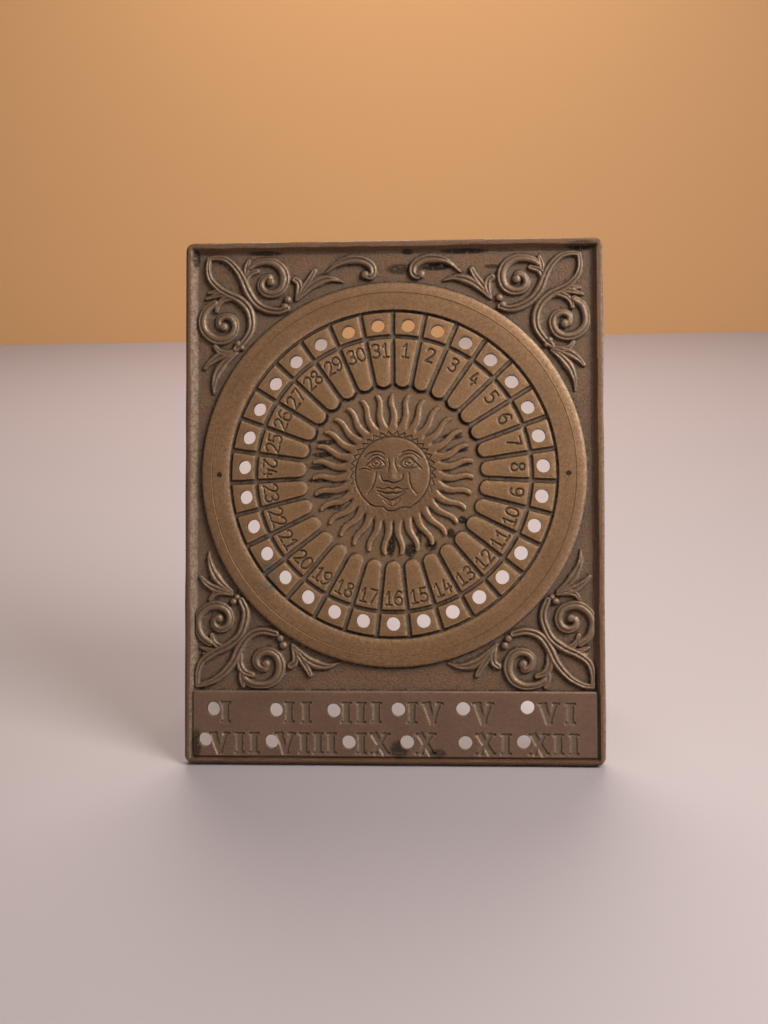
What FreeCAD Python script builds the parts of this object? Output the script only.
import FreeCAD, Part
import math
import os
from FreeCAD import Matrix, Vector

# A perpetual desk calendar. A cast bronze tray leans back on a folding wire stand. A turned ring
# clamps a dial of 31 date cells round a sun, a strip below it carries the twelve months, and a
# scroll fills each corner. A peg in a date hole and a peg in a month hole mark the day.
#
# Every piece is drawn as it lies face up on the bench: x across the plate, y up the plate from its
# bottom edge, z out of its face, with the plate's back at z = 0. stand_up() then leans the finished
# piece back on the table. Sizes are millimetres.

# The cast tray
PLATE_WIDTH = 100.0
PLATE_HEIGHT = 125.0
FLOOR = 1.6
RIM_TOP = 3.2
RIM_FLAT = 1.5
RIM_SLOPE = 1.2
FOOT_RIM_FLAT = 1.25
FOOT_RIM_SLOPE = 0.6
CORNER_RADIUS = 1.5
FIELD_CORNER = 0.6
LEAN = 18.0
FOOT_LAND = 0.35

# The dial and its ring
DIAL_Y = 68.9
RING_OUTER = 46.0
RING_INNER = 39.3
RING_CROWN = 3.45
RING_SHOULDER = 3.2
RING_BEVEL = 0.7
DISC_RADIUS = 40.4
DISC_TOP = 2.2
PAD_TOP = 2.9
DATES = 31
PITCH = 360.0 / DATES
HOLE_RADIUS = 1.65
HOLE_CIRCLE = 35.75
CELL_INNER, CELL_OUTER = 33.3, 38.6
TONGUE_INNER, TONGUE_OUTER = 20.8, 32.4
GROOVE = 0.95
PAD_CORNER = 0.35
TONGUE_CORNER = 1.3
PIN_RADIUS = 0.7
PIN_CIRCLE = 41.6
PIN_FOOT = 0.5

# The sun
SUN_CORE = 11.9
RAY_TIP = 19.3
RAY_ROOT_WIDTH = 1.95
RAY_TIP_WIDTH = 1.15
RAY_WAVE = 0.46
SUN_TOP = 2.92
FACE_RADIUS = 8.9
FACE_LINE = 0.3

# The month strip, and each hole's place across it and up it, as drilled by hand
STRIP_TOP_EDGE = 17.3
STRIP_GAP = 0.1
STRIP_TOP = 2.2
UPPER_MONTHS = [(-43.2, 12.9), (-28.1, 12.7), (-14.3, 12.6), (1.1, 12.9), (16.5, 13.1), (31.7, 13.5)]
LOWER_MONTHS = [(-45.2, 5.6), (-29.2, 5.2), (-10.7, 5.1), (3.2, 5.2), (17.0, 5.1), (30.8, 5.4)]

# The stand
WIRE_RADIUS = 1.5
STAND_SPREAD = 14.0
PIVOT_Y = 80.0
PIVOT_BEHIND = 3.6
LEG_X = 46.0
WIRE_END_X = 40.9
TOP_BEND = 2.5
FOOT_BEND = 6.0
SLEEVE_RADIUS = 2.3
SLEEVE_LENGTH = 12.0
SLEEVE_X = 26.0
EAR_OUTER_X = 43.4
EAR_THICK = 1.6
EAR_RADIUS = 2.9
FLANGE_THICK = 1.2
FLANGE_INNER_X = 38.1
FLANGE_HALF = 9.0
EAR_CLEARANCE = 0.06
STOP_GAP = 0.15
STOP_RADIUS = 0.9
STOP_DOWN_LEG = 5.5

# Rivets, pegs and their holder
RIVET_RADIUS = 1.0
RIVET_HEAD_RADIUS = 1.7
RIVET_HEAD_HEIGHT = 0.9
BRACKET_RIVET_X = 40.1
BRACKET_RIVET_OFFSET = 6.3
PEG_RADIUS = 1.55
PEG_SHANK = 8.0
COLLAR_RADIUS, COLLAR_HEIGHT = 2.2, 0.7
NECK_RADIUS, NECK_HEIGHT = 1.2, 1.3
BALL_RADIUS = 2.4
PEG_X = 4.0
HOLDER_BOTTOM, HOLDER_TOP = 58.0, 67.6
HOLDER_HALF_WIDTH = 8.0
HOLDER_DEPTH = 7.2
HOLDER_FLANGE_X = 14.0
HOLDER_RIVET_X = 11.0
HOLDER_BORE_DEPTH = 8.4
PEG_GAP = 0.08

# The corner scroll, drawn for the top right corner: (x, y) points along the middle of each stroke,
# and the width of the stroke at its start, its middle and its end. The bottom scroll is the same
# drawing turned over and shifted, with stems of its own.
SCROLL_TRIM = 0.15
BOTTOM_SHIFT, BOTTOM_FOLD = 1.0, 139.1
STEM_HEIGHT, CURL_HEIGHT, LEAF_HEIGHT, EYE_HEIGHT = 1.1, 1.0, 0.8, 1.2
STEM_WIDTHS = (1.8, 2.4, 1.3)
TOP_STEMS = [
    [(25.5, 108.9), (27.7, 108.3), (30.7, 108.9), (33.2, 110.4), (35.0, 113.0), (36.3, 116.0),
     (37.8, 118.7), (39.9, 120.7), (42.3, 121.4), (44.4, 121.2)],
    [(37.8, 99.4), (36.0, 100.9), (34.4, 103.5), (34.1, 106.5), (35.0, 109.1), (37.1, 111.2),
     (39.7, 112.5), (42.0, 113.9), (44.0, 116.0), (44.7, 118.6), (44.4, 121.2)],
]
BOTTOM_STEMS = [
    [(27.2, 108.3), (30.5, 107.6), (33.7, 108.8), (35.9, 111.9), (37.6, 115.4), (40.7, 118.5), (43.4, 120.1),
     (46.0, 120.6)],
    [(35.4, 100.3), (34.4, 103.0), (34.8, 106.1), (36.3, 109.2), (39.0, 111.4), (42.1, 112.8), (44.9, 114.8),
     (46.0, 117.7), (46.0, 120.6)],
]
CURL_WIDTHS = (1.7, 2.3, 1.3)
UPPER_CURL = [(34.7, 119.0), (33.5, 119.9), (31.7, 120.4), (29.2, 120.3), (27.0, 118.9), (26.0, 116.4),
              (26.6, 113.8), (28.5, 112.5), (30.7, 112.7), (31.9, 114.2), (31.5, 115.9), (29.9, 116.6),
              (29.5, 115.4)]
LOWER_CURL = [(43.1, 110.4), (45.2, 108.7), (46.1, 106.0), (45.5, 103.5), (43.4, 101.8), (41.0, 101.5),
              (38.8, 102.6), (38.0, 104.7), (38.7, 106.5), (40.4, 107.2), (42.0, 106.4), (42.0, 104.9),
              (40.9, 104.6)]
TAIL_WIDTHS = (0.5, 2.5, 1.6)
TAIL = [(16.3, 117.4), (13.9, 119.3), (10.7, 120.5), (7.7, 120.5), (5.3, 119.2), (4.7, 117.4), (5.5, 116.4),
        (6.7, 116.8)]
EYE_RADIUS = 1.05
LEAVES = [
    ((0.5, 2.7, 1.0), [(12.0, 115.3), (14.8, 116.0), (17.8, 115.4), (20.4, 113.7), (23.2, 110.9)]),
    ((0.9, 2.0, 1.5), [(22.9, 111.2), (21.2, 114.1), (19.8, 116.2), (18.9, 117.9)]),
    ((0.9, 2.1, 1.8), [(23.2, 111.2), (22.5, 113.4), (22.7, 115.1), (23.7, 115.9)]),
    ((1.3, 2.1, 1.5), [(35.6, 113.2), (35.8, 115.6), (34.8, 117.3), (32.9, 118.1)]),
    ((1.2, 1.8, 1.2), [(35.4, 116.6), (35.4, 118.8), (34.9, 120.6)]),
    ((1.1, 1.9, 0.9), [(39.5, 112.2), (42.0, 112.5), (45.1, 111.5)]),
    ((1.1, 1.9, 1.2), [(37.2, 110.6), (39.0, 111.6), (41.0, 111.2), (42.3, 109.9), (42.7, 108.5)]),
    ((1.0, 1.7, 0.9), [(41.0, 112.5), (42.9, 113.2), (44.6, 113.0)]),
    ((1.1, 2.1, 1.2), [(37.8, 98.9), (40.3, 98.3), (42.0, 98.8), (43.0, 100.0)]),
    ((1.0, 2.5, 1.1), [(38.2, 98.5), (41.8, 97.6), (44.0, 96.2), (45.4, 94.7)]),
    ((1.0, 2.7, 0.6), [(37.8, 98.2), (40.5, 96.1), (42.3, 93.5), (43.2, 90.9), (43.3, 88.6)]),
]
BEADS = [(25.3, 111.0, 0.95), (26.1, 109.4, 0.9), (37.3, 100.6, 0.85), (36.4, 99.6, 0.75)]

FIELD_SIDE = PLATE_WIDTH / 2 - RIM_FLAT - RIM_SLOPE
FIELD_TOP = PLATE_HEIGHT - RIM_FLAT - RIM_SLOPE
FIELD_BOTTOM = FOOT_RIM_FLAT + FOOT_RIM_SLOPE
DIAL = Vector(0, DIAL_Y, 0)
UP = Vector(0, 0, 1)


def polar(radius, angle, z=0.0):
    """A point on the dial, with the angle in degrees clockwise from the top."""
    a = math.radians(angle)
    return Vector(radius * math.sin(a), DIAL_Y + radius * math.cos(a), z)


def prism(wire, bottom, top):
    """The solid between two heights with this flat outline."""
    solid = Part.Face(wire).extrude(Vector(0, 0, top - bottom))
    solid.translate(Vector(0, 0, bottom))
    return solid


def cylinder(x, y, radius, bottom, top):
    return Part.makeCylinder(radius, top - bottom, Vector(x, y, bottom))


def rounded_outline(half_width, low, high, radius, z=0.0):
    """A rectangle across the plate's middle with rounded corners."""
    corners = [(half_width, low), (half_width, high), (-half_width, high), (-half_width, low)]
    centres = [(half_width - radius, low + radius), (half_width - radius, high - radius),
               (radius - half_width, high - radius), (radius - half_width, low + radius)]
    edges = []
    ends = []
    for n, (cx, cy) in enumerate(centres):
        start, stop = math.radians(270 + 90 * n), math.radians(360 + 90 * n)
        middle = (start + stop) / 2
        arc = [Vector(cx + radius * math.cos(a), cy + radius * math.sin(a), z) for a in (start, middle, stop)]
        edges.append(Part.Arc(*arc).toShape())
        ends.append((arc[0], arc[2]))
    for n in range(len(corners)):
        edges.append(Part.makeLine(ends[n][1], ends[(n + 1) % len(ends)][0]))
    return Part.Wire(Part.__sortEdges__(edges))


def date_holes(bottom, top):
    return [cylinder(*list(polar(HOLE_CIRCLE, (n + 0.5) * PITCH))[:2], HOLE_RADIUS, bottom, top)
            for n in range(DATES)]


def month_holes(bottom, top):
    return [cylinder(x, y, HOLE_RADIUS, bottom, top) for x, y in UPPER_MONTHS + LOWER_MONTHS]


def ring_pin_places():
    return [(side * PIN_CIRCLE, DIAL_Y) for side in (-1, 1)]


def bracket_rivet_places():
    return [(side * BRACKET_RIVET_X, PIVOT_Y + up * BRACKET_RIVET_OFFSET)
            for side in (-1, 1) for up in (-1, 1)]


def holder_rivet_places():
    return [(side * HOLDER_RIVET_X, (HOLDER_BOTTOM + HOLDER_TOP) / 2) for side in (-1, 1)]


def base_plate():
    """The cast tray: a floor with a raised rim, a sloping inner wall and a land filed along its foot."""
    outline = rounded_outline(PLATE_WIDTH / 2, 0, PLATE_HEIGHT, CORNER_RADIUS)
    block = prism(outline, 0, RIM_TOP)
    front = [e for e in block.Edges if e.BoundBox.ZMin > RIM_TOP - 0.01]
    block = block.makeFillet(0.8, front)
    back = [e for e in block.Edges if e.BoundBox.ZMax < 0.01]
    block = block.makeFillet(0.3, back)
    inner = [rounded_outline(FIELD_SIDE + out, FIELD_BOTTOM - down, FIELD_TOP + out, FIELD_CORNER + out, z)
             for out, down, z in ((0, 0, FLOOR), (RIM_SLOPE, FOOT_RIM_SLOPE, RIM_TOP))]
    pocket = Part.makeLoft(inner, True, True)
    cuts = [pocket] + date_holes(-1, FLOOR + 1) + month_holes(-1, FLOOR + 1)
    cuts += [cylinder(x, y, PIN_RADIUS, PIN_FOOT, FLOOR + 1) for x, y in ring_pin_places()]
    cuts += [cylinder(x, y, RIVET_RADIUS, -1, FLOOR + 1)
             for x, y in bracket_rivet_places() + holder_rivet_places()]
    return block.cut(cuts).cut(below_table())


def below_table():
    """What lies under the table's plane when the plate leans back, as a block in the bench frame."""
    block = Part.makeBox(2 * PLATE_WIDTH, 20, 20, Vector(-PLATE_WIDTH, -10, FOOT_LAND - 20))
    block.rotate(Vector(0, 0, 0), Vector(1, 0, 0), LEAN - 90)
    return block


def pad(inner, outer, inner_corner, outer_corner):
    """One raised pad of the dial at the top, between two radii, with its sides along the grooves."""
    half = math.radians(PITCH / 2)

    def side(radius, sign):
        """The point on that radius half a groove in from the middle line of the groove."""
        a = half - math.asin(GROOVE / 2 / radius)
        return Vector(sign * radius * math.sin(a), DIAL_Y + radius * math.cos(a), 0)

    corners = [side(inner, -1), side(outer, -1), side(outer, 1), side(inner, 1)]
    edges = [Part.makeLine(corners[0], corners[1]),
             Part.Arc(corners[1], Vector(0, DIAL_Y + outer, 0), corners[2]).toShape(),
             Part.makeLine(corners[2], corners[3]),
             Part.Arc(corners[3], Vector(0, DIAL_Y + inner, 0), corners[0]).toShape()]
    solid = prism(Part.Wire(edges), DISC_TOP - 0.2, PAD_TOP)
    upright = [e for e in solid.Edges if abs(e.BoundBox.ZLength - (PAD_TOP - DISC_TOP + 0.2)) < 0.01]
    middle = DIAL_Y + (inner + outer) / 2
    solid = solid.makeFillet(inner_corner, [e for e in upright if e.CenterOfMass.y < middle])
    upright = [e for e in solid.Edges
               if abs(e.BoundBox.ZLength - (PAD_TOP - DISC_TOP + 0.2)) < 0.01
               and e.CenterOfMass.y > middle and e.BoundBox.XLength < 0.01]
    return solid.makeFillet(outer_corner, upright)


def round_the_dial(solid):
    """Copies of a solid drawn at the top, one for each date."""
    copies = []
    for n in range(DATES):
        turned = solid.copy()
        turned.rotate(DIAL, UP, -(n + 0.5) * PITCH)
        copies.append(turned)
    return copies


def dial_disc():
    """A disc with two rings of raised pads: a holed cell for each peg and a tongue for each date."""
    disc = cylinder(0, DIAL_Y, DISC_RADIUS, FLOOR, DISC_TOP)
    pads = round_the_dial(pad(CELL_INNER, CELL_OUTER, PAD_CORNER, PAD_CORNER))
    pads += round_the_dial(pad(TONGUE_INNER, TONGUE_OUTER, TONGUE_CORNER, PAD_CORNER))
    return disc.fuse(pads).cut(date_holes(0, PAD_TOP + 1))


def bezel_ring():
    """A turned ring with a crowned face and a bevelled outer edge, rebated over the disc's rim."""
    def at(radius, z):
        return Vector(radius, DIAL_Y, z)

    rebate = DISC_RADIUS + 0.15
    lid = DISC_TOP + 0.03
    crown = at((RING_INNER + RING_OUTER) / 2, RING_CROWN)
    outer_shoulder = at(RING_OUTER - RING_BEVEL, RING_SHOULDER)
    inner_shoulder = at(RING_INNER + 0.2, RING_SHOULDER)
    corners = [inner_shoulder, at(RING_INNER, RING_SHOULDER - 0.2), at(RING_INNER, lid), at(rebate, lid),
               at(rebate, FLOOR), at(RING_OUTER, FLOOR), at(RING_OUTER, RING_SHOULDER - RING_BEVEL),
               outer_shoulder]
    edges = [Part.makeLine(a, b) for a, b in zip(corners, corners[1:])]
    edges.append(Part.Arc(outer_shoulder, crown, inner_shoulder).toShape())
    ring = Part.Face(Part.Wire(edges)).revolve(DIAL, UP, 360)
    return ring.cut([cylinder(x, y, PIN_RADIUS, 0, RIM_TOP + 1) for x, y in ring_pin_places()])


def bezel_pin(side):
    x, y = ring_pin_places()[side]
    return cylinder(x, y, PIN_RADIUS, PIN_FOOT, RING_CROWN - 0.12)


def sun_ray(lean):
    """A wavy ray that stands at the top of the dial, from inside the core to its round tip."""
    stations = 7
    root = SUN_CORE - 0.8
    left, right = [], []
    for n in range(stations):
        t = n / (stations - 1)
        y = DIAL_Y + root + (RAY_TIP - RAY_TIP_WIDTH / 2 - root) * t
        middle = lean * RAY_WAVE * math.sin(2 * math.pi * t) * (0.4 + 0.6 * t)
        half = (RAY_ROOT_WIDTH + (RAY_TIP_WIDTH - RAY_ROOT_WIDTH) * t) / 2
        left.append(Vector(middle - half, y, 0))
        right.append(Vector(middle + half, y, 0))
    tip = Vector((left[-1].x + right[-1].x) / 2, DIAL_Y + RAY_TIP, 0)
    return [spline(left), Part.Arc(left[-1], tip, right[-1]).toShape(), spline(right[::-1]),
            Part.makeLine(right[0], left[0])]


def spline(points):
    curve = Part.BSplineCurve()
    curve.interpolate(points)
    return curve.toShape()


def sun_medallion():
    """A flat sun: a core with a ring cut round its face, and a wavy ray over each groove of the dial."""
    core = cylinder(0, DIAL_Y, SUN_CORE, DISC_TOP, SUN_TOP)
    rays = []
    for n in range(DATES):
        lean = 1 if n * PITCH < 180 else -1
        ray = prism(Part.Wire(sun_ray(lean)), DISC_TOP, SUN_TOP)
        ray.rotate(DIAL, UP, -n * PITCH)
        rays.append(ray)
    sun = core.fuse(rays).removeSplitter()
    line = cylinder(0, DIAL_Y, FACE_RADIUS + FACE_LINE, SUN_TOP - 0.25, SUN_TOP + 1)
    line = line.cut(cylinder(0, DIAL_Y, FACE_RADIUS, 0, SUN_TOP + 2))
    return sun.cut(line)


def month_strip():
    """A thin strip across the foot of the tray, drilled for the month peg."""
    outline = rounded_outline(FIELD_SIDE - STRIP_GAP, FIELD_BOTTOM + STRIP_GAP, STRIP_TOP_EDGE, 0.5)
    return prism(outline, FLOOR, STRIP_TOP).cut(month_holes(0, STRIP_TOP + 1))


def stroke(points, widths, bottom, top):
    """A ribbon along a curve through the points. Its width runs from start to middle to end."""
    path = Part.BSplineCurve()
    path.interpolate([Vector(x, y, 0) for x, y in points])
    first, middle, last = widths
    left, right = [], []
    for n, (x, y) in enumerate(points):
        t = n / (len(points) - 1)
        width = first + (middle - first) * 2 * t if t < 0.5 else middle + (last - middle) * (2 * t - 1)
        along = path.tangent(path.parameter(Vector(x, y, 0)))[0]
        across = Vector(-along.y, along.x, 0) * (width / 2)
        left.append(Vector(x, y, 0) + across)
        right.append(Vector(x, y, 0) - across)
    caps = []
    for n, sense in ((-1, 1), (0, -1)):
        x, y = points[n]
        along = path.tangent(path.parameter(Vector(x, y, 0)))[0]
        reach = (left[n] - right[n]).Length / 2
        caps.append(Part.Arc(left[n], Vector(x, y, 0) + along * (sense * reach), right[n]).toShape())
    wire = Part.Wire([spline(left), caps[0], spline(right[::-1]), caps[1]])
    return prism(wire, bottom, top)


def scroll(at_top):
    """The scroll of the top right corner, or the one that is turned over for the bottom."""
    strokes = [stroke(points, STEM_WIDTHS, FLOOR, FLOOR + STEM_HEIGHT + 0.05 * n)
               for n, points in enumerate(TOP_STEMS if at_top else BOTTOM_STEMS)]
    curls = [(CURL_WIDTHS, UPPER_CURL), (CURL_WIDTHS, LOWER_CURL)]
    if at_top:
        curls.append((TAIL_WIDTHS, TAIL))
    for widths, points in curls:
        strokes.append(stroke(points, widths, FLOOR, FLOOR + CURL_HEIGHT))
        strokes.append(cylinder(*points[-1], EYE_RADIUS, FLOOR, FLOOR + EYE_HEIGHT))
    for n, (widths, points) in enumerate(LEAVES):
        strokes.append(stroke(points, widths, FLOOR, FLOOR + LEAF_HEIGHT + 0.01 * n))
    for x, y, radius in BEADS:
        strokes.append(cylinder(x, y, radius, FLOOR, FLOOR + EYE_HEIGHT + 0.05))
    whole = strokes[0]
    for piece in strokes[1:]:
        whole = whole.fuse(piece)
    return whole


def corner_scroll(side, at_top):
    """The scroll turned over for its own corner, kept clear of the ring, the rim and the strip."""
    whole = scroll(at_top)
    if not at_top:
        whole = whole.mirror(Vector(0, BOTTOM_FOLD / 2, 0), Vector(0, 1, 0))
        whole.translate(Vector(BOTTOM_SHIFT, 0, 0))
    if side < 0:
        whole = whole.mirror(Vector(0, 0, 0), Vector(1, 0, 0))
    ring = cylinder(0, DIAL_Y, RING_OUTER + SCROLL_TRIM, 0, 10)
    inside = rounded_outline(FIELD_SIDE - SCROLL_TRIM, STRIP_TOP_EDGE + SCROLL_TRIM,
                             FIELD_TOP - SCROLL_TRIM, 0.5)
    return whole.cut(ring).common(prism(inside, 0, 10))


def leg_angle():
    """How far an open leg stands off the plate's back."""
    return LEAN + STAND_SPREAD


def leg_length():
    """From the pivot to the middle of the foot bar, so that the sleeves just reach the table."""
    lean = math.radians(LEAN)
    pivot_height = PIVOT_Y * math.cos(lean) - PIVOT_BEHIND * math.sin(lean) - FOOT_LAND
    return (pivot_height - SLEEVE_RADIUS) / math.cos(math.radians(STAND_SPREAD))


def open_out(solid):
    """Swings a piece of the stand from flat against the back to its open place."""
    solid.rotate(Vector(0, PIVOT_Y, -PIVOT_BEHIND), Vector(1, 0, 0), leg_angle())
    return solid


def stand_bracket(side):
    """A flange on the plate's back with an ear for the wire and a stop that holds the leg open."""
    flange = Part.makeBox(EAR_OUTER_X - FLANGE_INNER_X, 2 * FLANGE_HALF, FLANGE_THICK,
                          Vector(FLANGE_INNER_X, PIVOT_Y - FLANGE_HALF, -FLANGE_THICK))
    upright = [e for e in flange.Edges if e.BoundBox.ZLength > FLANGE_THICK - 0.01]
    flange = flange.makeFillet(1.5, [e for e in upright if e.CenterOfMass.x < EAR_OUTER_X - 1])
    inner = EAR_OUTER_X - EAR_THICK
    a = math.radians(leg_angle())
    stop_y = PIVOT_Y - STOP_DOWN_LEG * math.cos(a)
    stop_z = -PIVOT_BEHIND - STOP_DOWN_LEG * math.sin(a)
    off = WIRE_RADIUS + STOP_GAP + STOP_RADIUS
    stop_y += off * math.sin(a)
    stop_z -= off * math.cos(a)
    across = Vector(1, 0, 0)
    ear = Part.makeBox(EAR_THICK, 2 * EAR_RADIUS, PIVOT_BEHIND,
                       Vector(inner, PIVOT_Y - EAR_RADIUS, -PIVOT_BEHIND))
    boss = Part.makeCylinder(EAR_RADIUS, EAR_THICK, Vector(inner, PIVOT_Y, -PIVOT_BEHIND), across)
    arm_radius = STOP_RADIUS + 0.6
    arm_end = Part.makeCylinder(arm_radius, EAR_THICK, Vector(inner, stop_y, stop_z), across)
    reach = Vector(0, stop_y - PIVOT_Y, stop_z + PIVOT_BEHIND)
    sideways = Vector(0, -reach.z, reach.y).normalize() * arm_radius
    start, end = Vector(inner, PIVOT_Y, -PIVOT_BEHIND), Vector(inner, stop_y, stop_z)
    web = Part.Face(Part.makePolygon([start + sideways, end + sideways, end - sideways, start - sideways,
                                      start + sideways])).extrude(across * EAR_THICK)
    stop = Part.makeCylinder(STOP_RADIUS, LEG_X + WIRE_RADIUS - inner, Vector(inner, stop_y, stop_z), across)
    bracket = flange.fuse([ear, boss, arm_end, web, stop])
    hole = Part.makeCylinder(WIRE_RADIUS + EAR_CLEARANCE, 20,
                             Vector(inner - 5, PIVOT_Y, -PIVOT_BEHIND), across)
    rivets = [cylinder(BRACKET_RIVET_X, PIVOT_Y + up * BRACKET_RIVET_OFFSET, RIVET_RADIUS, -3, 1)
              for up in (-1, 1)]
    bracket = bracket.cut([hole] + rivets)
    if side < 0:
        bracket = bracket.mirror(Vector(0, 0, 0), Vector(1, 0, 0))
    return bracket


def rivet(x, y):
    """A round-headed rivet through a flange and the tray's floor, filed flush under the dial."""
    dome = (RIVET_HEAD_RADIUS ** 2 + RIVET_HEAD_HEIGHT ** 2) / (2 * RIVET_HEAD_HEIGHT)
    head_foot = -FLANGE_THICK
    centre = head_foot - RIVET_HEAD_HEIGHT + dome
    half = math.asin(RIVET_HEAD_RADIUS / dome) / 2

    def at(radius, z):
        return Vector(x + radius, y, z)

    corners = [at(RIVET_HEAD_RADIUS, head_foot), at(RIVET_RADIUS, head_foot), at(RIVET_RADIUS, FLOOR),
               at(0, FLOOR), at(0, centre - dome)]
    edges = [Part.makeLine(a, b) for a, b in zip(corners, corners[1:])]
    middle = at(dome * math.sin(half), centre - dome * math.cos(half))
    edges.append(Part.Arc(corners[-1], middle, corners[0]).toShape())
    return Part.Face(Part.Wire(edges)).revolve(Vector(x, y, 0), UP, 360)


def stand_bail():
    """One length of wire bent to a U, its two ends turned in to pivot in the brackets."""
    foot = PIVOT_Y - leg_length()
    z = -PIVOT_BEHIND

    def quarter(centre, radius, start, stop):
        angles = [math.radians(a) for a in (start, (start + stop) / 2, stop)]
        return Part.Arc(*[Vector(centre[0] + radius * math.cos(a), centre[1] + radius * math.sin(a), z)
                          for a in angles]).toShape()

    edges = [
        Part.makeLine(Vector(WIRE_END_X, PIVOT_Y, z), Vector(LEG_X - TOP_BEND, PIVOT_Y, z)),
        quarter((LEG_X - TOP_BEND, PIVOT_Y - TOP_BEND), TOP_BEND, 90, 0),
        Part.makeLine(Vector(LEG_X, PIVOT_Y - TOP_BEND, z), Vector(LEG_X, foot + FOOT_BEND, z)),
        quarter((LEG_X - FOOT_BEND, foot + FOOT_BEND), FOOT_BEND, 0, -90),
        Part.makeLine(Vector(LEG_X - FOOT_BEND, foot, z), Vector(FOOT_BEND - LEG_X, foot, z)),
        quarter((FOOT_BEND - LEG_X, foot + FOOT_BEND), FOOT_BEND, -90, -180),
        Part.makeLine(Vector(-LEG_X, foot + FOOT_BEND, z), Vector(-LEG_X, PIVOT_Y - TOP_BEND, z)),
        quarter((TOP_BEND - LEG_X, PIVOT_Y - TOP_BEND), TOP_BEND, 180, 90),
        Part.makeLine(Vector(TOP_BEND - LEG_X, PIVOT_Y, z), Vector(-WIRE_END_X, PIVOT_Y, z)),
    ]
    path = Part.Wire(edges)
    section = Part.Wire([Part.Circle(Vector(WIRE_END_X, PIVOT_Y, z), Vector(1, 0, 0), WIRE_RADIUS).toShape()])
    bail = path.makePipeShell([section], True, False)
    return open_out(bail)


def foot_sleeve(side):
    """A short rubber tube on the foot bar."""
    start = Vector(side * SLEEVE_X - SLEEVE_LENGTH / 2, PIVOT_Y - leg_length(), -PIVOT_BEHIND)
    across = Vector(1, 0, 0)
    tube = Part.makeCylinder(SLEEVE_RADIUS, SLEEVE_LENGTH, start, across)
    bore = Part.makeCylinder(WIRE_RADIUS, SLEEVE_LENGTH, start, across)
    return open_out(tube.cut(bore))


def peg_holder():
    """A block on the plate's back with a blind bore for each peg and a riveted flange at each side."""
    middle = (HOLDER_BOTTOM + HOLDER_TOP) / 2
    block = Part.makeBox(2 * HOLDER_HALF_WIDTH, HOLDER_TOP - HOLDER_BOTTOM, HOLDER_DEPTH,
                         Vector(-HOLDER_HALF_WIDTH, HOLDER_BOTTOM, -HOLDER_DEPTH))
    back = [e for e in block.Edges if e.BoundBox.ZMax < 0.01 - HOLDER_DEPTH]
    block = block.makeFillet(1.0, back)
    flange = rounded_outline(HOLDER_FLANGE_X, HOLDER_BOTTOM + 1, HOLDER_TOP - 1, 2.5)
    holder = block.fuse(prism(flange, -FLANGE_THICK, 0))
    bores = [Part.makeCylinder(HOLE_RADIUS, HOLDER_BORE_DEPTH + 5,
                               Vector(side * PEG_X, HOLDER_TOP - HOLDER_BORE_DEPTH, -HOLDER_DEPTH / 2),
                               Vector(0, 1, 0)) for side in (-1, 1)]
    rivets = [cylinder(side * HOLDER_RIVET_X, middle, RIVET_RADIUS, -3, 1) for side in (-1, 1)]
    return holder.cut(bores + rivets)


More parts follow.
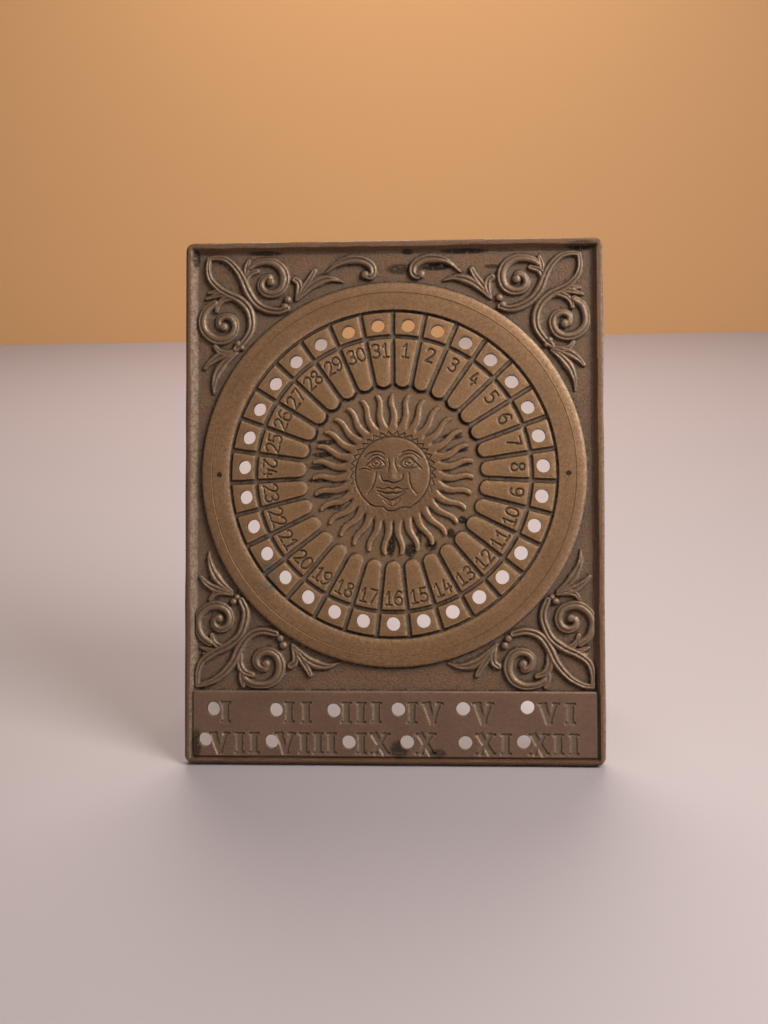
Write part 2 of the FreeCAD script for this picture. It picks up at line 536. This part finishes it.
def peg(side):
    """A turned peg: a straight shank with a rounded tip, a collar, a neck and a ball to hold it by."""
    x, z = side * PEG_X, -HOLDER_DEPTH / 2
    seat = HOLDER_TOP + PEG_GAP

    def at(radius, up):
        return Vector(x + radius, seat + up, z)

    tip = PEG_RADIUS * 0.5
    ball = COLLAR_HEIGHT + NECK_HEIGHT + math.sqrt(BALL_RADIUS ** 2 - NECK_RADIUS ** 2)
    neck_top = at(NECK_RADIUS, COLLAR_HEIGHT + NECK_HEIGHT)
    crown = at(0, ball + BALL_RADIUS)
    edges = [
        Part.makeLine(at(0, -PEG_SHANK), at(PEG_RADIUS - tip, -PEG_SHANK)),
        Part.Arc(at(PEG_RADIUS - tip, -PEG_SHANK),
                 at(PEG_RADIUS - tip * (1 - math.sqrt(0.5)), tip * (1 - math.sqrt(0.5)) - PEG_SHANK),
                 at(PEG_RADIUS, tip - PEG_SHANK)).toShape(),
        Part.makeLine(at(PEG_RADIUS, tip - PEG_SHANK), at(PEG_RADIUS, 0)),
        Part.makeLine(at(PEG_RADIUS, 0), at(COLLAR_RADIUS, 0)),
        Part.makeLine(at(COLLAR_RADIUS, 0), at(COLLAR_RADIUS, COLLAR_HEIGHT)),
        Part.makeLine(at(COLLAR_RADIUS, COLLAR_HEIGHT), at(NECK_RADIUS, COLLAR_HEIGHT)),
        Part.makeLine(at(NECK_RADIUS, COLLAR_HEIGHT), neck_top),
        Part.Arc(neck_top, at(BALL_RADIUS, ball), crown).toShape(),
        Part.makeLine(crown, at(0, -PEG_SHANK)),
    ]
    return Part.Face(Part.Wire(edges)).revolve(Vector(x, 0, z), Vector(0, 1, 0), 360)


def stand_up(solid, depth_middle):
    """From face up on the bench to leaning back on the table, with the object's middle at y = 0."""
    lean = math.radians(LEAN)
    s, c = math.sin(lean), math.cos(lean)
    turn = Matrix(1, 0, 0, 0, 0, s, -c, -depth_middle, 0, c, s, -FOOT_LAND, 0, 0, 0, 1)
    return solid.transformed(turn, True)


def depth_range(solids):
    """Front and back of the standing object, before it is centred."""
    boxes = [stand_up(s, 0).optimalBoundingBox() for s in solids]
    return min(b.YMin for b in boxes), max(b.YMax for b in boxes)


def main():
    nodes = {
        "base_plate": base_plate(),
        "dial_disc": dial_disc(),
        "bezel_ring": bezel_ring(),
        "bezel_pin_left": bezel_pin(0),
        "bezel_pin_right": bezel_pin(1),
        "sun_medallion": sun_medallion(),
        "month_strip": month_strip(),
        "scroll_top_left": corner_scroll(-1, True),
        "scroll_top_right": corner_scroll(1, True),
        "scroll_bottom_left": corner_scroll(-1, False),
        "scroll_bottom_right": corner_scroll(1, False),
        "stand_bracket_left": stand_bracket(-1),
        "stand_bracket_right": stand_bracket(1),
        "bracket_rivets": Part.makeCompound([rivet(x, y) for x, y in bracket_rivet_places()]),
        "peg_holder": peg_holder(),
        "holder_rivets": Part.makeCompound([rivet(x, y) for x, y in holder_rivet_places()]),
        "stand_bail": stand_bail(),
        "foot_sleeve_left": foot_sleeve(-1),
        "foot_sleeve_right": foot_sleeve(1),
        "date_peg": peg(-1),
        "month_peg": peg(1),
    }
    front, back = depth_range([nodes["base_plate"], nodes["foot_sleeve_left"]])
    middle = (front + back) / 2
    os.makedirs("parts", exist_ok=True)
    for name, solid in nodes.items():
        stand_up(solid, middle).exportStep(f"parts/{name}.step")
        print(f"{name}: {len(solid.Solids)} solid, valid {solid.isValid()}, {solid.Volume:.1f} mm3")
    pivot = stand_up(Part.Vertex(0, PIVOT_Y, -PIVOT_BEHIND), middle).Point
    print(f"depth middle {middle:.4f}, pivot {[round(v, 4) for v in pivot]}, leg {leg_length():.3f}")


main()
